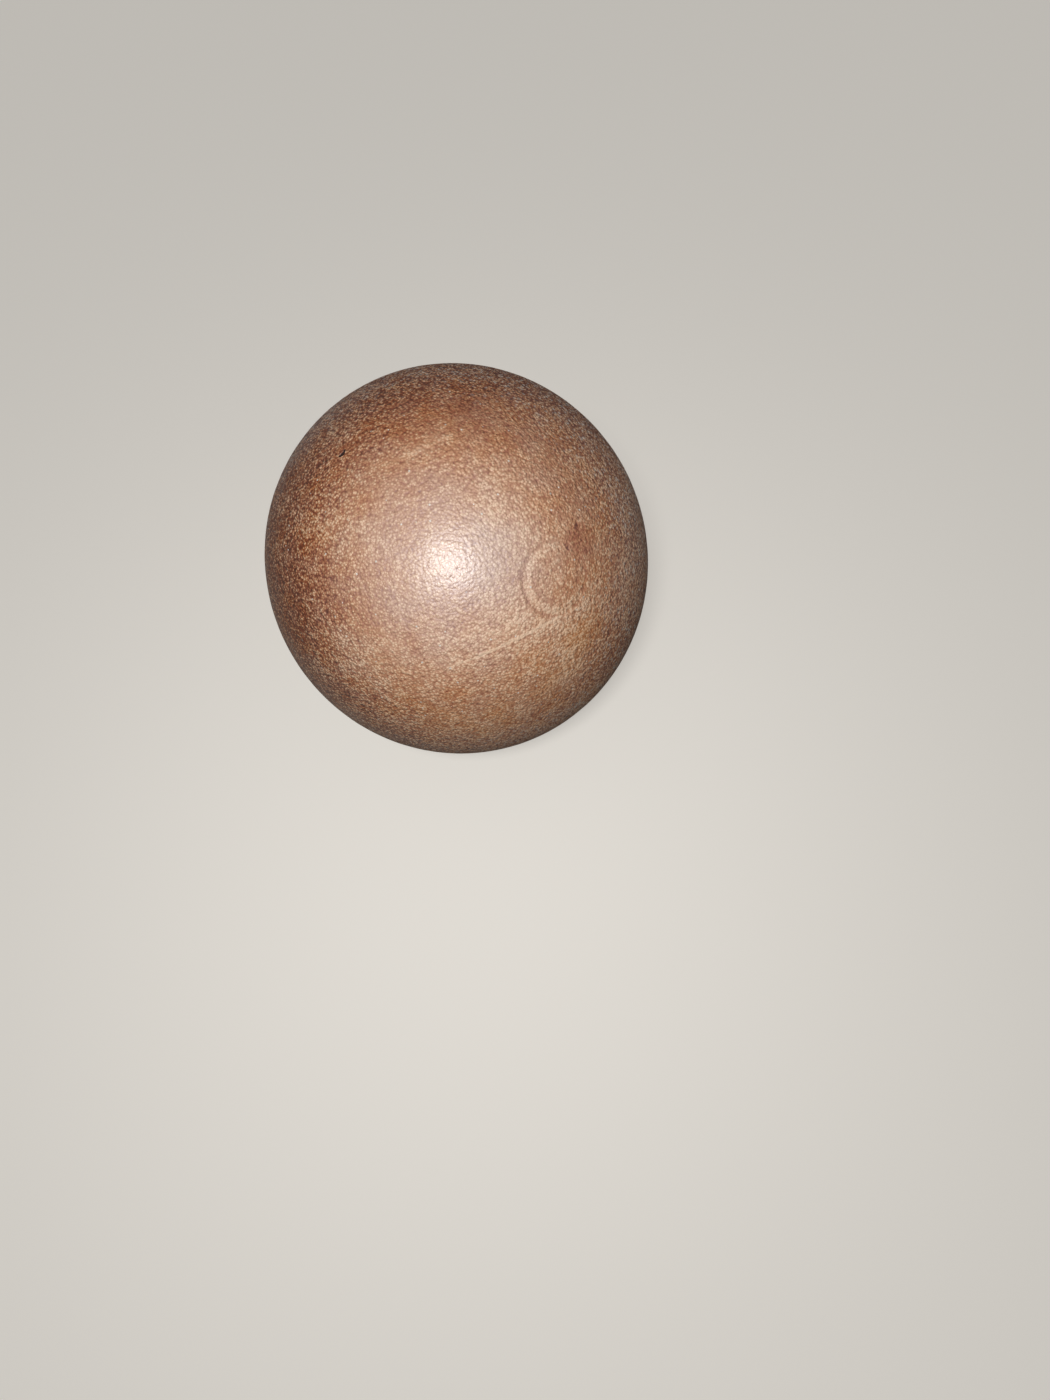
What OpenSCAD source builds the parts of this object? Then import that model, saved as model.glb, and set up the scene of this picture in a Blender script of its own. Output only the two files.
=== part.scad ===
// Turned wooden ball: one solid piece of stained wood.
// Lengths are in millimetres. The origin is the ball's centre, with +Z up as the ball lies.
// It was turned between centres along the grain, so each end of the turning axis keeps
// a fine ring, where the waste was parted off, and a dimple from the lathe centre.

/* [Ball] */
// Diameter of the finished ball
ball_d = 40; // [24:1:80]

/* [Turning axis] */
// Lean of the turning axis from upright, as the ball lies
axis_lean = 45; // [0:1:90]
// Turn of the leaning axis about the vertical, counted from +X
axis_turn = -48; // [-180:1:180]

/* [End marks] */
// Diameter of the parting cut's deepest line
ring_d = 6; // [4:0.1:10]
// Depth of the parting cut below the round surface
ring_depth = 0.08; // [0.04:0.01:0.2]
// Width of the cut's gentle side, towards the middle of the mark
ring_slope_w = 0.7; // [0.3:0.05:0.9]
// Width of the cut's steep side, away from the middle
ring_wall_w = 0.25; // [0.1:0.05:0.5]
// Diameter of the lathe centre's dimple
dimple_d = 0.8; // [0.4:0.1:1.2]
// Depth of the dimple
dimple_depth = 0.1; // [0.04:0.01:0.3]

/* [Surface pit] */
// Diameter of the mouth of the one small pit in the surface
pit_d = 0.5; // [0.3:0.1:1.5]
// Depth of the pit
pit_depth = 0.35; // [0.1:0.05:1]
// Angle of the pit from the top of the ball
pit_lean = 24; // [0:1:180]
// Turn of the pit about the vertical, counted from +X
pit_turn = -172; // [-180:1:180]

/* [Hidden] */
$fn = 96;
stained_wood = "#a67d61";
ball_r = ball_d / 2;
// Angle between the turning axis and the parting cut's deepest line
ring_angle = asin(ring_d / ball_d);

// The cutting shapes are drawn at twice their depth and width, so they reach out of the surface
function past_surface(size) = 2 * size;

// Points a child that stands on +Z to a lean from upright and a turn about the vertical
module aimed(lean, turn) {
    rotate([0, lean, turn]) children();
}

// Cone whose mouth lies in the ball's surface, at the top of the ball
module prick(mouth_d, depth) {
    translate([0, 0, ball_r - depth])
        cylinder(h = past_surface(depth), d1 = 0, d2 = past_surface(mouth_d));
}

// Ring swept by the parting tool's point: a steep wall outside and a gentle slope inside
module parting_cut() {
    rotate_extrude()
        rotate(-ring_angle)
            translate([0, ball_r - ring_depth])
                polygon(past_surface([[0, 0], [ring_wall_w, ring_depth], [-ring_slope_w, ring_depth]]));
}

// What turning left at one end of the axis
module end_mark() {
    parting_cut();
    prick(dimple_d, dimple_depth);
}

module wooden_ball() {
    color(stained_wood)
        difference() {
            sphere(d = ball_d);
            for (end = [0, 180])
                aimed(axis_lean + end, axis_turn) end_mark();
            aimed(pit_lean, pit_turn) prick(pit_d, pit_depth);
        }
}

wooden_ball();
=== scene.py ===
"""A turned wooden ball, dressed as birch with a brown oil stain under a thin satin wax.

Lengths are metres in the scene. Sizes are written in millimetres and turned to metres by MM.
"""

import math

import bpy
from mathutils import Matrix, Vector


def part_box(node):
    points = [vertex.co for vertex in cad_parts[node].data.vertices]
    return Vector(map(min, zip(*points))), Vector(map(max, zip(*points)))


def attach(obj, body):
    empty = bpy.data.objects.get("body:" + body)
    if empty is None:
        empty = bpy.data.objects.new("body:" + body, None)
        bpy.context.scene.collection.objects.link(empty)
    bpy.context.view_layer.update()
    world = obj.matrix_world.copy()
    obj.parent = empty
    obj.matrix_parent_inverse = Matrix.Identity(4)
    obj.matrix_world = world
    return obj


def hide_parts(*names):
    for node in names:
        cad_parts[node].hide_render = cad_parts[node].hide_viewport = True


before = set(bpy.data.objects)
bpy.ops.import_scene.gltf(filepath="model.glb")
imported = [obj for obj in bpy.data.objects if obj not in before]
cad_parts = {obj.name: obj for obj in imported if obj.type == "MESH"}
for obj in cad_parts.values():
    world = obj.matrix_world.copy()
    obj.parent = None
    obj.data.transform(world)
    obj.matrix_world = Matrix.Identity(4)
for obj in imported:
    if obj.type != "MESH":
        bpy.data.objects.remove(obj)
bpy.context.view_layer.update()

MM = 0.001
ball_low, ball_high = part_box("wooden_ball")
BALL_R = (ball_high[2] - ball_low[2]) / 2
BALL_R_MM = BALL_R / MM

# The turning axis as the ball lies, and the turn of the growth layers about it
AXIS_LEAN = math.radians(45)
AXIS_TURN = math.radians(-48)
LAYER_SPIN = math.radians(-8)

# Marks that turning left at each end of the axis: the parting cut and the dimple of the lathe centre.
# The cut falls from its full depth to its least share between two places along the growth layers
RING_R_MM = 3.0
RING_DEPTH_MM = 0.08
RING_SLOPE_MM = 0.7
RING_WALL_MM = 0.25
RING_FADE_MM = (-3.0, 3.0)
RING_LEAST = 0.35
DIMPLE_R_MM = 0.4
DIMPLE_DEPTH_MM = 0.1

# One small pit: its place as lean from upright and turn, its depth, and the pricks that make up its bent
# outline, each as a step to the right and up over the surface and a mouth radius, in millimetres.
# Its walls are painted near-black between two depths, within a reach of its middle: painted shade of the
# hole, with stain pooled in it. Its cover there is more than whole, so that it stays whole over all of the
# mouth
PIT_LEAN = math.radians(24)
PIT_TURN = math.radians(-172)
PIT_DEPTH_MM = 0.35
PIT_PRICKS = (
    (-0.24, -0.2, 0.15),
    (-0.06, -0.17, 0.2),
    (0.1, -0.1, 0.22),
    (0.2, 0.06, 0.18),
    (0.23, 0.24, 0.12),
)
PIT_DARK_MM = (0.03, 0.07)
PIT_REACH_MM = 2.0
PIT_COVER = 2.0

# A prick is a cone, drawn at this many times its depth and mouth so that it reaches out of the surface
PRICK_REACH = 2
PRICK_SIDES = 12

# Raised grain that stands in the mesh, in millimetres, drawn out along the fibres, and its finer steps
GRAIN_RELIEF_MM = 0.012
GRAIN_WIDTH_MM = 1.4
GRAIN_STRETCH = 3.0
GRAIN_STEPS = 2.0
SEED = 7

# The mesh follows the lathe: rings across the turning axis, crowded towards the end marks. Points nearer to
# each other than the weld become one
RINGS = 340
SEGMENTS = 286
RING_CROWDING = 0.8
WELD_MM = 0.0001

# Stain from the crevices between the grains to their worn tops, then the near-black of the pit, painted shade
# with pooled stain, the pale grey of wax bloom and painted sheen, and the dust, which on the rim belt is
# painted sheen as well
STAIN_TONES = (
    (0.0, "#743b22"),
    (0.25, "#9b5636"),
    (0.5, "#b0744e"),
    (0.75, "#c58f67"),
    (1.0, "#e8c09c"),
)
PIT_SHADE_AND_STAIN = "#2c150a"
BLOOM_AND_PAINTED_SHEEN = "#d6d1cd"
DUST_AND_RIM_SHEEN = "#dcd2c6"

# Gloss of the oiled wood, the faint sheen of its raised fibres, and the satin of the wax
WOOD_ROUGHNESS = 0.58
WOOD_IOR = 1.5
WOOD_SPECULAR = 0.7
FIBRE_SHEEN = 0.04
FIBRE_SHEEN_ROUGHNESS = 0.5
WAX_ROUGHNESS = 0.36

# Tone over the ball: end grain took less stain than side grain, and they meet between two distances along the
# turning axis. One side of the tree is a little paler: change of tone from the ball's middle to its surface,
# across the growth layers, along them and along the fibres
SIDE_TONE = 0.34
END_TONE = 0.785
END_GRAIN_Z_MM = (7.0, 20.0)
TONE_LEAN = (0.05, -0.08, 0.0)

# Stain patterns: width in millimetres, stretch along the fibres, finer steps and weight in the tone
PATTERNS = (
    ("stain patches", 8.0, 2.0, 1.0, 0.16),
    ("blotches", 1.6, 2.0, 2.0, 0.09),
)

# Places where the stain is duller or richer: their width, finer steps, the span of the noise that counts,
# and the saturation at either end of it
RICHNESS_W_MM = 2.2
RICHNESS_STEPS = 2.0
RICHNESS_NOISE = (0.3, 0.7)
RICHNESS = (0.93, 1.07)

# Pebbly grain that the stain raised. Wood cells are finer, so the pebbles are drawn as wide as they need to
# show. Each is a dome about a middle height, paler towards its top, and took more or less stain than the
# mean.
# The pale tops and dark edges are partly worn stain, partly painted glints and painted shade of the relief
PEBBLE_W_MM = 0.21
PEBBLE_MIDDLE = 0.5
PEBBLE_DOME = 1.5
PEBBLE_MEAN = 0.5
PEBBLE_RELIEF_MM = 0.1
WAX_RELIEF_MM = 0.012

# Weight of the pebbles in the tone and strength of their relief, each for side grain and for end grain,
# which meet between two distances along the turning axis
PEBBLE_WEIGHT = (1.08, 0.47)
PEBBLE_STRENGTH = (1.0, 0.6)
PEBBLE_Z_MM = (7.0, 14.0)

# Knolls, the broader rises that the pebbles sit on: width, stretch along the fibres, finer steps, and weight
# in the height and in the tone
KNOLL_W_MM = 0.34
KNOLL_STRETCH = 2.5
KNOLL_STEPS = 1.0
KNOLL_HEIGHT = 0.9
KNOLL_TONE = 0.22

# Places where stain gathered in the open grain, and others that took less of it: lean and turn in degrees,
# radius in millimetres and change of tone
POOLS = (
    (42.5, -32, 2.6, -0.32),
    (40.3, -37.8, 0.2, -0.7),
    (41.0, -38.0, 0.26, -0.7),
    (41.7, -38.1, 0.2, -0.7),
    (39.4, -28.5, 0.2, -0.7),
    (39.4, -29.3, 0.24, -0.7),
    (39.6, -30.1, 0.2, -0.6),
    (3.0, -25, 6.0, -0.06),
    (43.0, -150, 5.0, 0.05),
    (59.0, -158, 6.0, -0.12),
    # This one darkens the stain under the key's highlight, so that the painted sheen laid over it reads
    # whiter
    (36.0, -84, 9.0, -0.06),
    (64.0, -55, 7.0, 0.03),
    (86.0, -88, 7.0, 0.07),
    (64.0, -83, 5.0, -0.08),
    (60.0, -114, 6.0, 0.22),
    (49.0, -66, 4.0, 0.16),
    (25.0, 177, 5.0, 0.14),
    (24.0, 81, 4.0, 0.08),
    (38.0, 92, 7.0, -0.08),
    (12.0, 119, 2.2, -0.12),
    (8.0, 52, 2.0, -0.1),
    (70.0, -139, 2.6, -0.2),
    (74.0, -120, 2.2, -0.2),
    (82.0, -67, 2.2, -0.2),
)

# Growth lines: place across the layers, width, where each shows along the layers and how far to either side,
# all in millimetres, and change of tone
GROWTH_LINES = (
    (-17.0, 0.6, 3.0, 8.0, 0.12),
    (-13.0, 0.7, -4.0, 7.0, 0.16),
    (-10.6, 0.6, -14.0, 6.0, 0.12),
    (-7.0, 0.6, 9.0, 8.0, 0.1),
    (-3.1, 0.6, 8.0, 7.0, 0.18),
    (3.05, 0.42, -4.5, 9.5, 0.44),
    (8.8, 1.0, -6.0, 9.0, 0.1),
    (13.6, 0.6, 5.0, 9.0, 0.14),
    (17.4, 0.6, -2.0, 8.0, 0.12),
)

# How far the layers wander from flat and over what length, in millimetres, and the finer steps of that
LAYER_WANDER_MM = 0.15
WANDER_LENGTH_MM = 9.0
WANDER_STEPS = 2.0

# Change in the pebbles' weight on a growth line or a lathe cut, for each unit of its change of tone
LINE_GRAIN = -1.1

# Tone across each end mark: distance from the turning axis in millimetres and change of tone. The dark line
# at the parting cut is painted shade on its outer wall, partly stain, and the pale band inside it is painted
# highlight on its inner slope. A colour ramp holds nothing below zero, so the changes are drawn about a
# middle
END_MARK_TONES = (
    (0.0, 0.16), (0.35, 0.12), (0.7, 0.0), (1.6, 0.0), (1.9, -0.12), (2.2, 0.02),
    (2.4, 0.13), (2.75, 0.13), (2.9, 0.0), (3.03, -0.26), (3.2, -0.06), (3.5, 0.0),
)
RAMP_MIDDLE = 0.5

# Line that the chuck's jaws left round the ball: distance from the turning axis and width, in millimetres
CHUCK_R_MM = 13.8
CHUCK_W_MM = 0.5
CHUCK_TONE = 0.08

# Pale grey of old wax bloom and painted sheen: lean and turn of each place in degrees, radius in millimetres
# and share.
# The largest, and the small one beside it, lie where the key's highlight falls and paint a broader, whiter
# sheen there
BLOOMS_AND_PAINTED_SHEEN = (
    (34.0, -84, 14.0, 0.33),
    (60.0, -114, 8.0, 0.05),
    (63.0, -12, 12.0, 0.12),
    (50.0, 150, 10.0, 0.14),
    (27.0, 10, 9.0, 0.06),
    (34.0, -64, 5.0, 0.13),
)

# The wax is whole round one place, given as lean and turn in degrees, on the side that faces the key and the
# camera.
# Between the first two distances from it, in millimetres, the grain gets rougher, a little darker and holds
# dust, in a belt just inside the outline as the camera sees it: its pale frost is painted glancing sheen,
# partly real dust. Between the next two it gets clean again, towards the side that the ball lies on
POLISHED_PLACE = (38.0, -99)
POLISHED_MM = (15.5, 22.0)
CLEAN_MM = (25.0, 31.0)

# What the rough belt adds to the weight of the pebbles, the cover of dust, which also paints the glancing
# sheen there, the tone, which makes it a little darker, and the cover of wax
ROUGH_GRAIN = 0.7
ROUGH_DUST_AND_RIM_SHEEN = 0.8
ROUGH_TONE = -0.1
ROUGH_WAX = -0.9

# Flecks, drawn as coarse as they need to show: spacing of the places that may hold one and radius, both in
# millimetres, stretch along the fibres, and share of those places that do hold one
DUST_SPECKS = (0.9, 0.085, 1.0, 0.5)
# Thick dust of the rim belt, which also paints the glancing sheen there
RIM_DUST_AND_SHEEN_FLECKS = (0.46, 0.15, 1.0, 0.55)
OPEN_PORES = (0.6, 0.12, 2.0, 0.3)
PORE_TONE = -0.3

# The view: image size, focal length and the ball's centre in the picture, all in pixels, then the angle
# between the ball's centre and its outline, and the angle at which the camera looks down
IMAGE_W, IMAGE_H = 1050, 1400
FOCAL_PX = 610
BALL_PX = (462.4, 570.9)
BALL_ANGLE = math.radians(16.88)
CAMERA_PITCH = math.radians(67.5)
SENSOR_MM = 36

# Light, in metres: the key stands a hand's breadth off, near the line of sight. A broad lamp hangs overhead,
# a panel lies just above the floor behind the ball and shines upwards, and the rest is an even fill
KEY_LEAN = math.radians(31.5)
KEY_TURN = math.radians(-90)
KEY_DISTANCE = 0.085
KEY_WIDTH = 0.014
KEY_LEVEL = 1.1
OVERHEAD_PLACE = Vector((-0.1, 0.1, 0.6))
OVERHEAD_WIDTH = 0.6
OVERHEAD_LEVEL = 0.02
BOUNCE_PLACE = Vector((-0.01, 0.16, -0.0195))
BOUNCE_WIDTH = 0.28
BOUNCE_LEVEL = 1.6
FILL_LEVEL = 0.08
FILL = "#f2f0ed"
BACKDROP = "#e6e3dd"

# The floor: its paper and glow as the camera sees them, the dimmer paper that lights the ball, half its
# width in metres, and its corners
FLOOR_PAPER = "#b9b5ae"
FLOOR_GLOW = "#d8d4cd"
FLOOR_GLOW_LEVEL = 0.68
FLOOR_DIM = "#8c8880"
FLOOR_HALF = 2.0
FLOOR_CORNERS = ((-1, -1), (1, -1), (1, 1), (-1, 1))


def linear(hex_colour):
    """The linear RGBA of an sRGB hex colour."""
    parts = [int(hex_colour[i:i + 2], 16) / 255 for i in (1, 3, 5)]
    return (*(c / 12.92 if c <= 0.04045 else ((c + 0.055) / 1.055) ** 2.4 for c in parts), 1.0)


def aimed(lean, turn):
    """Unit vector at a lean from upright and a turn about the vertical."""
    return Vector((math.sin(lean) * math.cos(turn), math.sin(lean) * math.sin(turn), math.cos(lean)))


def placed(items):
    """Items that start with a lean and a turn in degrees, with one direction in their stead."""
    return [(aimed(math.radians(lean), math.radians(turn)), *rest) for lean, turn, *rest in items]


def add(tree, kind, links=None, stops=(), **settings):
    """Adds a node with its settings.

    Each link gives an input, by name or number, a value, a socket, a node or a list of nodes. Stops are the
    places and colours of a colour ramp, in order.
    """
    node = tree.nodes.new(kind)
    for name, value in settings.items():
        setattr(node, name, value)
    for key, given in (links or {}).items():
        for source in given if isinstance(given, list) else [given]:
            if isinstance(source, bpy.types.Node):
                source = source.outputs[0]
            if isinstance(source, bpy.types.NodeSocket):
                tree.links.new(source, node.inputs[key])
            else:
                node.inputs[key].default_value = source
    if stops:
        ramp = node.color_ramp.elements
        for end in (0, -1):
            ramp[end].position, ramp[end].color = stops[end]
        for position, colour in stops[1:-1]:
            ramp.new(position).color = colour
    return node


def wood_rotation():
    """Turn of the wood in the part's frame: X across the growth layers, Y along them, Z along the fibres."""
    spun = Matrix.Rotation(LAYER_SPIN, 3, "Z")
    leant = Matrix.Rotation(AXIS_TURN, 3, "Z") @ Matrix.Rotation(AXIS_LEAN, 3, "Y")
    return (leant @ spun).to_euler()


def pit_places():
    """Direction and mouth radius in millimetres of each prick of the pit."""
    middle = aimed(PIT_LEAN, PIT_TURN)
    back = Vector((0, 1, 0))
    right = back.cross(middle).normalized()
    up = middle.cross(right)
    return [((middle * BALL_R_MM + right * x + up * y).normalized(), r) for x, y, r in PIT_PRICKS]


def spots(tree, place, items):
    """Sum of soft round spots on the ball, each a direction, a radius in millimetres and a weight."""
    total = 0.0
    for direction, radius_mm, weight in items:
        far = add(tree, "ShaderNodeVectorMath", {0: place, 1: direction * BALL_R}, operation="DISTANCE")
        spot = add(tree, "ShaderNodeMapRange", {
            "Value": far.outputs["Value"], "From Max": radius_mm * MM, "To Min": weight, "To Max": 0.0,
        }, interpolation_type="SMOOTHSTEP")
        total = add(tree, "ShaderNodeMath", {0: spot, 1: total}, operation="ADD")
    return total


def flecks(tree, wood, spacing_mm, radius_mm, stretch, share):
    """Small flecks strewn over the wood: 1 inside a fleck and 0 between them."""
    drawn = add(tree, "ShaderNodeVectorMath", {0: wood, 1: (1, 1, 1 / stretch)}, operation="MULTIPLY")
    cells = add(tree, "ShaderNodeTexVoronoi", {"Vector": drawn, "Scale": 1 / spacing_mm}).outputs
    near = add(tree, "ShaderNodeMath", {
        0: cells["Distance"], 1: radius_mm / spacing_mm,
    }, operation="LESS_THAN")
    held = add(tree, "ShaderNodeMath", {0: cells["Color"], 1: share}, operation="LESS_THAN")
    return add(tree, "ShaderNodeMath", {0: near, 1: held}, operation="MULTIPLY")


def growth_lines(tree, wood, across, along):
    """Pale thin layers where the dense end of each year's growth took less stain.

    They wander, and fade in and out.
    """
    wander = add(tree, "ShaderNodeTexNoise", {
        "Vector": wood, "Scale": 1 / WANDER_LENGTH_MM, "Detail": WANDER_STEPS,
    }, normalize=False)
    layer = add(tree, "ShaderNodeMath", {
        0: wander, 1: LAYER_WANDER_MM, 2: across,
    }, operation="MULTIPLY_ADD")
    lines = 0.0
    for place_mm, width_mm, middle_mm, half_mm, tone in GROWTH_LINES:
        shown = tone
        for way, centre, half in ((layer, place_mm, width_mm / 2), (along, middle_mm, half_mm)):
            off = add(tree, "ShaderNodeMath", {0: way, 1: centre}, operation="SUBTRACT")
            far = add(tree, "ShaderNodeMath", {0: off}, operation="ABSOLUTE")
            shown = add(tree, "ShaderNodeMapRange", {
                "Value": far, "From Max": half, "To Min": shown, "To Max": 0.0,
            }, interpolation_type="SMOOTHSTEP")
        lines = add(tree, "ShaderNodeMath", {0: shown, 1: lines}, operation="ADD")
    return lines


def turning_marks(tree, wood, along):
    """Tone in and by the parting cut of each end, clearer on its deeper side: painted shade and painted
    highlight of the cut's walls, partly stain. Also the chuck's faint line.
    """
    flat = add(tree, "ShaderNodeVectorMath", {0: wood, 1: (1, 1, 0)}, operation="MULTIPLY")
    reach = add(tree, "ShaderNodeVectorMath", {0: flat}, operation="LENGTH").outputs["Value"]
    outer = END_MARK_TONES[-1][0]
    share = add(tree, "ShaderNodeMath", {0: reach, 1: outer}, operation="DIVIDE")
    stops = [(r / outer, (RAMP_MIDDLE + tone,) * 3 + (1.0,)) for r, tone in END_MARK_TONES]
    rings = add(tree, "ShaderNodeValToRGB", {"Fac": share}, stops=stops)
    change = add(tree, "ShaderNodeMath", {0: rings, 1: RAMP_MIDDLE}, operation="SUBTRACT")
    shown = add(tree, "ShaderNodeMapRange", {
        "Value": along, "From Min": RING_FADE_MM[0], "From Max": RING_FADE_MM[1],
        "To Min": 1.0, "To Max": RING_LEAST,
    })
    mark = add(tree, "ShaderNodeMath", {0: change, 1: shown}, operation="MULTIPLY")
    off = add(tree, "ShaderNodeMath", {0: reach, 1: CHUCK_R_MM}, operation="SUBTRACT")
    far = add(tree, "ShaderNodeMath", {0: off}, operation="ABSOLUTE")
    chuck = add(tree, "ShaderNodeMapRange", {
        "Value": far, "From Max": CHUCK_W_MM / 2, "To Min": CHUCK_TONE, "To Max": 0.0,
    }, interpolation_type="SMOOTHSTEP")
    return add(tree, "ShaderNodeMath", {0: mark, 1: chuck}, operation="ADD")


def rough_belt(tree, place):
    """1 on the belt between the place where the wax is whole and the side that stays clean, and 0 off it. The
    belt runs just inside the outline as the camera sees it, and its dust is partly painted glancing sheen.
    """
    polished = aimed(*(math.radians(angle) for angle in POLISHED_PLACE)) * BALL_R
    off = add(tree, "ShaderNodeVectorMath", {0: place, 1: polished}, operation="DISTANCE").outputs["Value"]
    roughened = add(tree, "ShaderNodeMapRange", {
        "Value": off, "From Min": POLISHED_MM[0] * MM, "From Max": POLISHED_MM[1] * MM,
    })
    uncovered = add(tree, "ShaderNodeMapRange", {
        "Value": off, "From Min": CLEAN_MM[0] * MM, "From Max": CLEAN_MM[1] * MM,
        "To Min": 1.0, "To Max": 0.0,
    })
    return add(tree, "ShaderNodeMath", {0: roughened, 1: uncovered}, operation="MINIMUM")


def pebbles(tree, wood):
    """Tone and height of the pebbly grain: worn tops and stained crevices, partly painted glints and painted
    shade, on knolls along the fibres.
    """
    cells = add(tree, "ShaderNodeTexVoronoi", {"Vector": wood, "Scale": 1 / PEBBLE_W_MM}).outputs
    domes = add(tree, "ShaderNodeMath", {0: PEBBLE_MIDDLE, 1: cells["Distance"]}, operation="SUBTRACT")
    taken = add(tree, "ShaderNodeMath", {0: cells["Color"], 1: PEBBLE_MEAN}, operation="SUBTRACT")
    drawn = add(tree, "ShaderNodeVectorMath", {0: wood, 1: (1, 1, 1 / KNOLL_STRETCH)}, operation="MULTIPLY")
    knolls = add(tree, "ShaderNodeTexNoise", {
        "Vector": drawn, "Scale": 1 / KNOLL_W_MM, "Detail": KNOLL_STEPS,
    }, normalize=False)
    worn = add(tree, "ShaderNodeMath", {0: domes, 1: PEBBLE_DOME, 2: taken}, operation="MULTIPLY_ADD")
    tones = add(tree, "ShaderNodeMath", {0: knolls, 1: KNOLL_TONE, 2: worn}, operation="MULTIPLY_ADD")
    heights = add(tree, "ShaderNodeMath", {0: knolls, 1: KNOLL_HEIGHT, 2: domes}, operation="MULTIPLY_ADD")
    return tones, heights


def stained_birch():
    """Birch, turned and sanded, with a brown oil stain that raised the grain, under one thin satin wax.

    To the eye: a soft broad sheen over pebbly grains a fifth of a millimetre wide, whose tops are worn pale
    and whose crevices hold the stain, partly painted glints and painted shade. End grain is paler than side
    grain, which is redder. Dense growth boundaries show as pale lines, and the cuts of the lathe as darker
    ones, with painted shade and painted highlight across the parting cuts. The pit is painted near-black,
    painted shade with pooled stain. Where the key's highlight falls, pale grey is laid on as painted sheen,
    with wax bloom elsewhere. Round the side that faces the camera, where the wax is whole, runs a belt of
    rougher grain, dull, a little darker and frosted with dust: the frost is painted glancing sheen, partly
    real dust.
    """
    material = bpy.data.materials.new("stained birch, satin wax")
    material.use_nodes = True
    tree = material.node_tree
    tree.nodes.clear()

    # Wood coordinates in millimetres
    place = add(tree, "ShaderNodeTexCoord").outputs["Object"]
    wood = add(tree, "ShaderNodeMapping", {
        "Vector": place, "Rotation": wood_rotation(), "Scale": (MM, MM, MM),
    }, vector_type="TEXTURE")
    axes = add(tree, "ShaderNodeSeparateXYZ", {0: wood}).outputs

    # Slow change of tone from side grain to end grain and from side to side
    ends = add(tree, "ShaderNodeMath", {0: axes["Z"]}, operation="ABSOLUTE")
    grown = add(tree, "ShaderNodeMapRange", {
        "Value": ends, "From Min": END_GRAIN_Z_MM[0], "From Max": END_GRAIN_Z_MM[1],
        "To Min": SIDE_TONE, "To Max": END_TONE,
    })
    lean = tuple(change / BALL_R_MM for change in TONE_LEAN)
    leant = add(tree, "ShaderNodeVectorMath", {0: wood, 1: lean}, operation="DOT_PRODUCT").outputs["Value"]
    tone = add(tree, "ShaderNodeMath", {0: grown, 1: leant}, operation="ADD")

    # Stain patches and blotches drawn out along the fibres, and what sits at a place of its own
    for label, width_mm, stretch, steps, weight in PATTERNS:
        drawn = add(tree, "ShaderNodeVectorMath", {0: wood, 1: (1, 1, 1 / stretch)}, operation="MULTIPLY")
        pattern = add(tree, "ShaderNodeTexNoise", {
            "Vector": drawn, "Scale": 1 / width_mm, "Detail": steps,
        }, normalize=False, label=label)
        tone = add(tree, "ShaderNodeMath", {0: pattern, 1: weight, 2: tone}, operation="MULTIPLY_ADD")
    pooled = spots(tree, place, placed(POOLS))
    lines = growth_lines(tree, wood, axes["X"], axes["Y"])
    cuts = turning_marks(tree, wood, axes["Y"])
    drawn_on = add(tree, "ShaderNodeMath", {0: lines, 1: cuts}, operation="ADD")
    for change in (pooled, drawn_on):
        tone = add(tree, "ShaderNodeMath", {0: change, 1: tone}, operation="ADD")

    # Pebbly grain, stronger on side grain and on the rough belt, which gives way to the lines and cuts
    rough = rough_belt(tree, place)
    pebbled, heights = pebbles(tree, wood)
    plain_weight, relief = (add(tree, "ShaderNodeMapRange", {
        "Value": ends, "From Min": PEBBLE_Z_MM[0], "From Max": PEBBLE_Z_MM[1], "To Min": side, "To Max": end,
    }) for side, end in (PEBBLE_WEIGHT, PEBBLE_STRENGTH))
    rough_weight = add(tree, "ShaderNodeMath", {
        0: rough, 1: ROUGH_GRAIN, 2: plain_weight,
    }, operation="MULTIPLY_ADD")
    sharp = add(tree, "ShaderNodeMath", {0: drawn_on}, operation="ABSOLUTE")
    shown_weight = add(tree, "ShaderNodeMath", {
        0: sharp, 1: LINE_GRAIN, 2: rough_weight,
    }, operation="MULTIPLY_ADD")
    pores = flecks(tree, wood, *OPEN_PORES)
    for change, share in ((rough, ROUGH_TONE), (pebbled, shown_weight), (pores, PORE_TONE)):
        tone = add(tree, "ShaderNodeMath", {0: change, 1: share, 2: tone}, operation="MULTIPLY_ADD")

    # The stain's colour, duller here and richer there
    stops = [(place_on_ramp, linear(colour)) for place_on_ramp, colour in STAIN_TONES]
    even_stain = add(tree, "ShaderNodeValToRGB", {"Fac": tone}, stops=stops)
    varied = add(tree, "ShaderNodeTexNoise", {
        "Vector": wood, "Scale": 1 / RICHNESS_W_MM, "Detail": RICHNESS_STEPS,
    })
    richness = add(tree, "ShaderNodeMapRange", {
        "Value": varied, "From Min": RICHNESS_NOISE[0], "From Max": RICHNESS_NOISE[1],
        "To Min": RICHNESS[0], "To Max": RICHNESS[1],
    })
    stain = add(tree, "ShaderNodeHueSaturation", {"Saturation": richness, "Color": even_stain})

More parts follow.
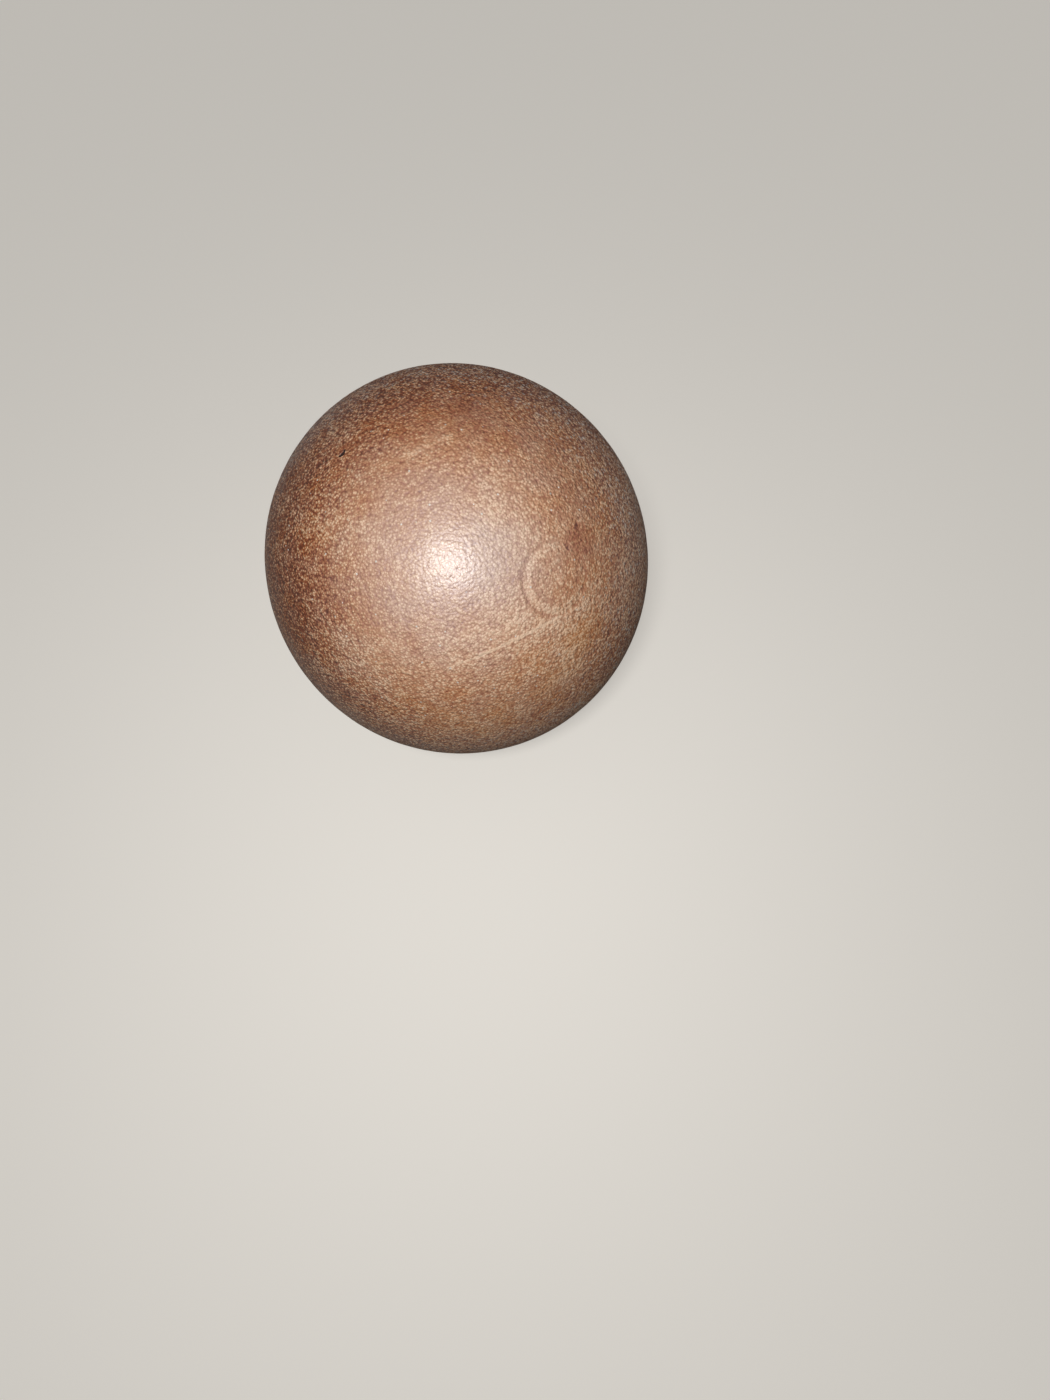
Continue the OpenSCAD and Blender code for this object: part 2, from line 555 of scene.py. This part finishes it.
    # Wax bloom with painted sheen where the key's highlight falls, dust with painted glancing sheen on the
    # rim belt, and painted shade with pooled stain below the mouth of the pit
    bloomed_and_sheened = add(tree, "ShaderNodeMix", {
        0: spots(tree, place, placed(BLOOMS_AND_PAINTED_SHEEN)), 6: stain, 7: linear(BLOOM_AND_PAINTED_SHEEN),
    }, data_type="RGBA")
    thick_dust_and_sheen = add(tree, "ShaderNodeMath", {0: rough, 1: ROUGH_DUST_AND_RIM_SHEEN}, operation="MULTIPLY")
    settled_dust_and_sheen = add(tree, "ShaderNodeMath", {
        0: thick_dust_and_sheen, 1: flecks(tree, wood, *RIM_DUST_AND_SHEEN_FLECKS), 2: flecks(tree, wood, *DUST_SPECKS),
    }, operation="MULTIPLY_ADD")
    dusted_and_sheened = add(tree, "ShaderNodeMix", {
        0: settled_dust_and_sheen, 6: bloomed_and_sheened.outputs[2], 7: linear(DUST_AND_RIM_SHEEN),
    }, data_type="RGBA")
    deep = add(tree, "ShaderNodeVectorMath", {0: place}, operation="LENGTH").outputs["Value"]
    below = add(tree, "ShaderNodeMapRange", {
        "Value": deep, "From Min": BALL_R - PIT_DARK_MM[1] * MM, "From Max": BALL_R - PIT_DARK_MM[0] * MM,
        "To Min": 1.0, "To Max": 0.0,
    })
    near = spots(tree, place, [(aimed(PIT_LEAN, PIT_TURN), PIT_REACH_MM, PIT_COVER)])
    pit = add(tree, "ShaderNodeMath", {0: below, 1: near}, operation="MULTIPLY")
    pitted = add(tree, "ShaderNodeMix", {
        0: pit, 6: dusted_and_sheened.outputs[2], 7: linear(PIT_SHADE_AND_STAIN),
    }, data_type="RGBA")

    # Wax, worn thin on the rough belt and missing in the pit, over the relief of the grain
    worn = add(tree, "ShaderNodeMath", {0: rough, 1: ROUGH_WAX, 2: 1.0}, operation="MULTIPLY_ADD")
    waxed = add(tree, "ShaderNodeMath", {0: worn, 1: pit}, operation="SUBTRACT", use_clamp=True)
    dulled = add(tree, "ShaderNodeMapRange", {"Value": pit, "To Min": WOOD_ROUGHNESS, "To Max": 1.0})
    grain_bump = add(tree, "ShaderNodeBump", {
        "Strength": relief, "Distance": PEBBLE_RELIEF_MM * MM, "Height": heights,
    })
    wax_bump = add(tree, "ShaderNodeBump", {"Distance": WAX_RELIEF_MM * MM, "Height": heights})
    shader = add(tree, "ShaderNodeBsdfPrincipled", {
        "Base Color": pitted.outputs[2], "Roughness": dulled, "Normal": grain_bump,
        "IOR": WOOD_IOR, "Specular IOR Level": WOOD_SPECULAR,
        "Sheen Weight": FIBRE_SHEEN, "Sheen Roughness": FIBRE_SHEEN_ROUGHNESS,
        "Coat Weight": waxed, "Coat Roughness": WAX_ROUGHNESS, "Coat Normal": wax_bump,
    })
    add(tree, "ShaderNodeOutputMaterial", {"Surface": shader})
    return material


def turned_ball_tree(material):
    """Geometry Nodes tree of the ball, and the sizes that it takes.

    A sheet is wrapped about the turning axis, with the end marks and the grain, and the pit is cut out of it.
    """
    tree = bpy.data.node_groups.new("turned ball", "GeometryNodeTree")
    sizes = {
        "Ball radius": BALL_R,
        "Ring distance": BALL_R * math.asin(RING_R_MM / BALL_R_MM),
        "Ring depth": RING_DEPTH_MM * MM,
        "Ring slope": RING_SLOPE_MM * MM,
        "Ring wall": RING_WALL_MM * MM,
        "Dimple radius": DIMPLE_R_MM * MM,
        "Dimple depth": DIMPLE_DEPTH_MM * MM,
        "Pit depth": PIT_DEPTH_MM * MM,
        "Grain relief": GRAIN_RELIEF_MM * MM,
        "Grain width": GRAIN_WIDTH_MM * MM,
        "Seed": float(SEED),
    }
    for name in sizes:
        tree.interface.new_socket(name=name, in_out="INPUT", socket_type="NodeSocketFloat")
    tree.interface.new_socket(name="Geometry", in_out="OUTPUT", socket_type="NodeSocketGeometry")
    size = add(tree, "NodeGroupInput").outputs

    # A flat sheet whose width is the turn about the axis and whose height runs from end to end. The height
    # is drawn as a whole turn, to crowd the rings, and the latitude is half of that
    sheet = add(tree, "GeometryNodeMeshGrid", {
        "Size X": 1.0, "Size Y": 1.0, "Vertices X": SEGMENTS + 1, "Vertices Y": RINGS + 1,
    })
    flat = add(tree, "ShaderNodeSeparateXYZ", {0: add(tree, "GeometryNodeInputPosition")})
    turn = add(tree, "ShaderNodeMath", {0: flat.outputs["X"], 1: math.tau}, operation="MULTIPLY")
    way = add(tree, "ShaderNodeMath", {0: flat.outputs["Y"], 1: math.tau}, operation="MULTIPLY")
    swing = add(tree, "ShaderNodeMath", {0: way}, operation="SINE")
    crowd = add(tree, "ShaderNodeMath", {0: swing, 1: RING_CROWDING, 2: way}, operation="MULTIPLY_ADD")
    latitude = add(tree, "ShaderNodeMath", {0: crowd, 1: 1 / 2}, operation="MULTIPLY")

    # Direction from the centre of each point of the wrapped sheet
    out = add(tree, "ShaderNodeMath", {0: latitude}, operation="COSINE")
    up = add(tree, "ShaderNodeMath", {0: latitude}, operation="SINE")
    turn_x = add(tree, "ShaderNodeMath", {0: turn}, operation="COSINE")
    turn_y = add(tree, "ShaderNodeMath", {0: turn}, operation="SINE")
    across = add(tree, "ShaderNodeMath", {0: turn_x, 1: out}, operation="MULTIPLY")
    along = add(tree, "ShaderNodeMath", {0: turn_y, 1: out}, operation="MULTIPLY")
    toward = add(tree, "ShaderNodeCombineXYZ", {0: across, 1: along, 2: up})

    # Distance over the surface from the nearer end of the axis, and the depth of the marks there
    lifted = add(tree, "ShaderNodeMath", {0: latitude}, operation="ABSOLUTE")
    from_end = add(tree, "ShaderNodeMath", {0: math.pi / 2, 1: lifted}, operation="SUBTRACT")
    arc = add(tree, "ShaderNodeMath", {0: from_end, 1: size["Ball radius"]}, operation="MULTIPLY")
    past = add(tree, "ShaderNodeMath", {0: arc, 1: size["Ring distance"]}, operation="SUBTRACT")
    short = add(tree, "ShaderNodeMath", {0: size["Ring distance"], 1: arc}, operation="SUBTRACT")
    wall = add(tree, "ShaderNodeMapRange", {
        "Value": past, "From Max": size["Ring wall"], "To Min": 1.0, "To Max": 0.0,
    })
    slope = add(tree, "ShaderNodeMapRange", {
        "Value": short, "From Max": size["Ring slope"], "To Min": 1.0, "To Max": 0.0,
    })
    cut = add(tree, "ShaderNodeMath", {0: wall, 1: slope}, operation="MINIMUM")
    fade = add(tree, "ShaderNodeMapRange", {
        "Value": along, "From Min": RING_FADE_MM[0] / BALL_R_MM, "From Max": RING_FADE_MM[1] / BALL_R_MM,
        "To Min": 1.0, "To Max": RING_LEAST,
    })
    faded = add(tree, "ShaderNodeMath", {0: cut, 1: fade}, operation="MULTIPLY")
    cut_depth = add(tree, "ShaderNodeMath", {0: faded, 1: size["Ring depth"]}, operation="MULTIPLY")
    dimple = add(tree, "ShaderNodeMapRange", {
        "Value": arc, "From Max": size["Dimple radius"], "To Min": 1.0, "To Max": 0.0,
    })
    marks = add(tree, "ShaderNodeMath", {
        0: dimple, 1: size["Dimple depth"], 2: cut_depth,
    }, operation="MULTIPLY_ADD")

    # Raised grain, drawn out along the fibres
    drawn = add(tree, "ShaderNodeVectorMath", {0: toward, 1: (1, 1, 1 / GRAIN_STRETCH)}, operation="MULTIPLY")
    fineness = add(tree, "ShaderNodeMath", {
        0: size["Ball radius"], 1: size["Grain width"],
    }, operation="DIVIDE")
    grain = add(tree, "ShaderNodeTexNoise", {
        "Vector": drawn, "W": size["Seed"], "Scale": fineness, "Detail": GRAIN_STEPS,
    }, noise_dimensions="4D", normalize=False)
    relief = add(tree, "ShaderNodeMath", {
        0: grain, 1: size["Grain relief"], 2: size["Ball radius"],
    }, operation="MULTIPLY_ADD")
    radius = add(tree, "ShaderNodeMath", {0: relief, 1: marks}, operation="SUBTRACT")

    # Wrapped, turned to the way the ball lies, and closed along the seam and at both ends
    wrapped = add(tree, "ShaderNodeVectorMath", {0: toward, "Scale": radius}, operation="SCALE")
    lying = add(tree, "ShaderNodeVectorRotate", {
        "Vector": wrapped, "Rotation": wood_rotation(),
    }, rotation_type="EULER_XYZ")
    formed = add(tree, "GeometryNodeSetPosition", {"Geometry": sheet, "Position": lying})
    closed = add(tree, "GeometryNodeMergeByDistance", {"Geometry": formed, "Distance": WELD_MM * MM})

    # The pit, cut out by one cone for each prick, point inwards
    tip = add(tree, "ShaderNodeMath", {0: size["Ball radius"], 1: size["Pit depth"]}, operation="SUBTRACT")
    tall = add(tree, "ShaderNodeMath", {0: size["Pit depth"], 1: PRICK_REACH}, operation="MULTIPLY")
    cones = []
    for direction, radius_mm in pit_places():
        cone = add(tree, "GeometryNodeMeshCone", {
            "Vertices": PRICK_SIDES, "Depth": tall,
            "Radius Top": PRICK_REACH * radius_mm * MM, "Radius Bottom": 0.0,
        })
        at = add(tree, "ShaderNodeVectorMath", {0: direction, "Scale": tip}, operation="SCALE")
        cones.append(add(tree, "GeometryNodeTransform", {
            "Geometry": cone, "Translation": at, "Rotation": direction.to_track_quat("Z", "Y").to_euler(),
        }))
    pitted = add(tree, "GeometryNodeMeshBoolean", {
        "Mesh 1": closed, "Mesh 2": cones,
    }, operation="DIFFERENCE", solver="MANIFOLD")

    # Smooth all over, but for the crisp mouth of the pit
    smooth = add(tree, "GeometryNodeSetShadeSmooth", {"Geometry": pitted})
    crisp = add(tree, "GeometryNodeSetShadeSmooth", {
        "Geometry": smooth, "Selection": pitted.outputs["Intersecting Edges"], "Shade Smooth": False,
    }, domain="EDGE")
    real = add(tree, "GeometryNodeRealizeInstances", {"Geometry": crisp})
    dressed = add(tree, "GeometryNodeSetMaterial", {"Geometry": real, "Material": material})
    add(tree, "NodeGroupOutput", {"Geometry": dressed})
    return tree, sizes


def made_mesh(name, tree, sizes):
    """The plain mesh object that a Geometry Nodes tree makes at these sizes."""
    maker = bpy.data.objects.new(name + "_maker", bpy.data.meshes.new(name + "_maker"))
    bpy.context.scene.collection.objects.link(maker)
    modifier = maker.modifiers.new(tree.name, "NODES")
    modifier.node_group = tree
    for socket in tree.interface.items_tree:
        if socket.in_out == "INPUT":
            modifier[socket.identifier] = sizes[socket.name]
    evaluated = maker.evaluated_get(bpy.context.evaluated_depsgraph_get())
    mesh = bpy.data.meshes.new_from_object(evaluated)
    maker.modifiers.remove(modifier)
    bpy.data.objects.remove(maker)
    mesh.name = name
    piece = bpy.data.objects.new(name, mesh)
    bpy.context.scene.collection.objects.link(piece)
    return piece


def make_ball():
    """The finished ball in place of its plain solid."""
    tree, sizes = turned_ball_tree(stained_birch())
    ball = made_mesh("turned_ball", tree, sizes)
    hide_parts("wooden_ball")
    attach(ball, "root")


def make_floor():
    """A plain matte floor under the ball: pale to the camera, and dimmer in the light that it throws back."""
    material = bpy.data.materials.new("matte pale paper")
    material.use_nodes = True
    tree = material.node_tree
    tree.nodes.clear()
    watched = add(tree, "ShaderNodeLightPath").outputs["Is Camera Ray"]
    paper = add(tree, "ShaderNodeBsdfDiffuse", {"Color": linear(FLOOR_PAPER)})
    glow = add(tree, "ShaderNodeEmission", {"Color": linear(FLOOR_GLOW), "Strength": FLOOR_GLOW_LEVEL})
    shown = add(tree, "ShaderNodeAddShader", {0: paper, 1: glow})
    dim = add(tree, "ShaderNodeBsdfDiffuse", {"Color": linear(FLOOR_DIM)})
    either = add(tree, "ShaderNodeMixShader", {0: watched, 1: dim, 2: shown})
    add(tree, "ShaderNodeOutputMaterial", {"Surface": either})
    corners = [(x * FLOOR_HALF, y * FLOOR_HALF, ball_low[2]) for x, y in FLOOR_CORNERS]
    mesh = bpy.data.meshes.new("floor")
    mesh.from_pydata(corners, [], [range(len(corners))])
    mesh.materials.append(material)
    floor = bpy.data.objects.new("floor", mesh)
    bpy.context.scene.collection.objects.link(floor)


def camera_place():
    """Where the camera stands, so that the ball shows at its place and size in the picture."""
    across = (BALL_PX[0] - IMAGE_W / 2) / FOCAL_PX
    down = (BALL_PX[1] - IMAGE_H / 2) / FOCAL_PX
    toward = Vector((across, -down, -1)).normalized()
    distance = BALL_R / math.sin(BALL_ANGLE)
    turn = Matrix.Rotation(math.pi / 2 - CAMERA_PITCH, 3, "X")
    return -(turn @ toward) * distance


def make_camera():
    """Camera at the photograph's viewing angle: steeply down, close and wide."""
    data = bpy.data.cameras.new("camera")
    data.sensor_width = SENSOR_MM
    data.lens = FOCAL_PX / IMAGE_H * SENSOR_MM
    data.clip_start = MM
    camera = bpy.data.objects.new("camera", data)
    camera.location = camera_place()
    camera.rotation_euler = (math.pi / 2 - CAMERA_PITCH, 0, 0)
    bpy.context.scene.collection.objects.link(camera)
    bpy.context.scene.camera = camera


def soft_lamp(name, place, width, level):
    """Round soft lamp that faces the ball. Level is what it adds to white at the ball's near side."""
    data = bpy.data.lights.new(name, "AREA")
    data.shape = "DISK"
    data.size = width
    data.energy = level * math.pi ** 2 * (place.length - BALL_R) ** 2
    lamp = bpy.data.objects.new(name, data)
    lamp.location = place
    lamp.rotation_euler = place.to_track_quat("Z", "Y").to_euler()
    bpy.context.scene.collection.objects.link(lamp)
    return lamp


def make_light():
    """A soft key near the line of sight, a broad lamp overhead, light from the floor behind, and a fill."""
    soft_lamp("key", aimed(KEY_LEAN, KEY_TURN) * KEY_DISTANCE, KEY_WIDTH, KEY_LEVEL)
    soft_lamp("overhead", OVERHEAD_PLACE, OVERHEAD_WIDTH, OVERHEAD_LEVEL)

    # Light thrown up from the floor behind the ball: a lamp laid flat that shows in no picture or reflection
    bounce = soft_lamp("bounce", BOUNCE_PLACE, BOUNCE_WIDTH, BOUNCE_LEVEL)
    bounce.rotation_euler = (math.pi, 0, 0)
    bounce.visible_camera = False
    bounce.visible_glossy = False

    world = bpy.data.worlds.new("even fill")
    world.use_nodes = True
    tree = world.node_tree
    tree.nodes.clear()
    watched = add(tree, "ShaderNodeLightPath").outputs["Is Camera Ray"]
    fill = add(tree, "ShaderNodeBackground", {"Color": linear(FILL), "Strength": FILL_LEVEL})
    seen = add(tree, "ShaderNodeBackground", {"Color": linear(BACKDROP)})
    either = add(tree, "ShaderNodeMixShader", {0: watched, 1: fill, 2: seen})
    add(tree, "ShaderNodeOutputWorld", {"Surface": either})
    bpy.context.scene.world = world


bpy.context.scene.view_settings.view_transform = "Standard"
make_ball()
make_floor()
make_camera()
make_light()
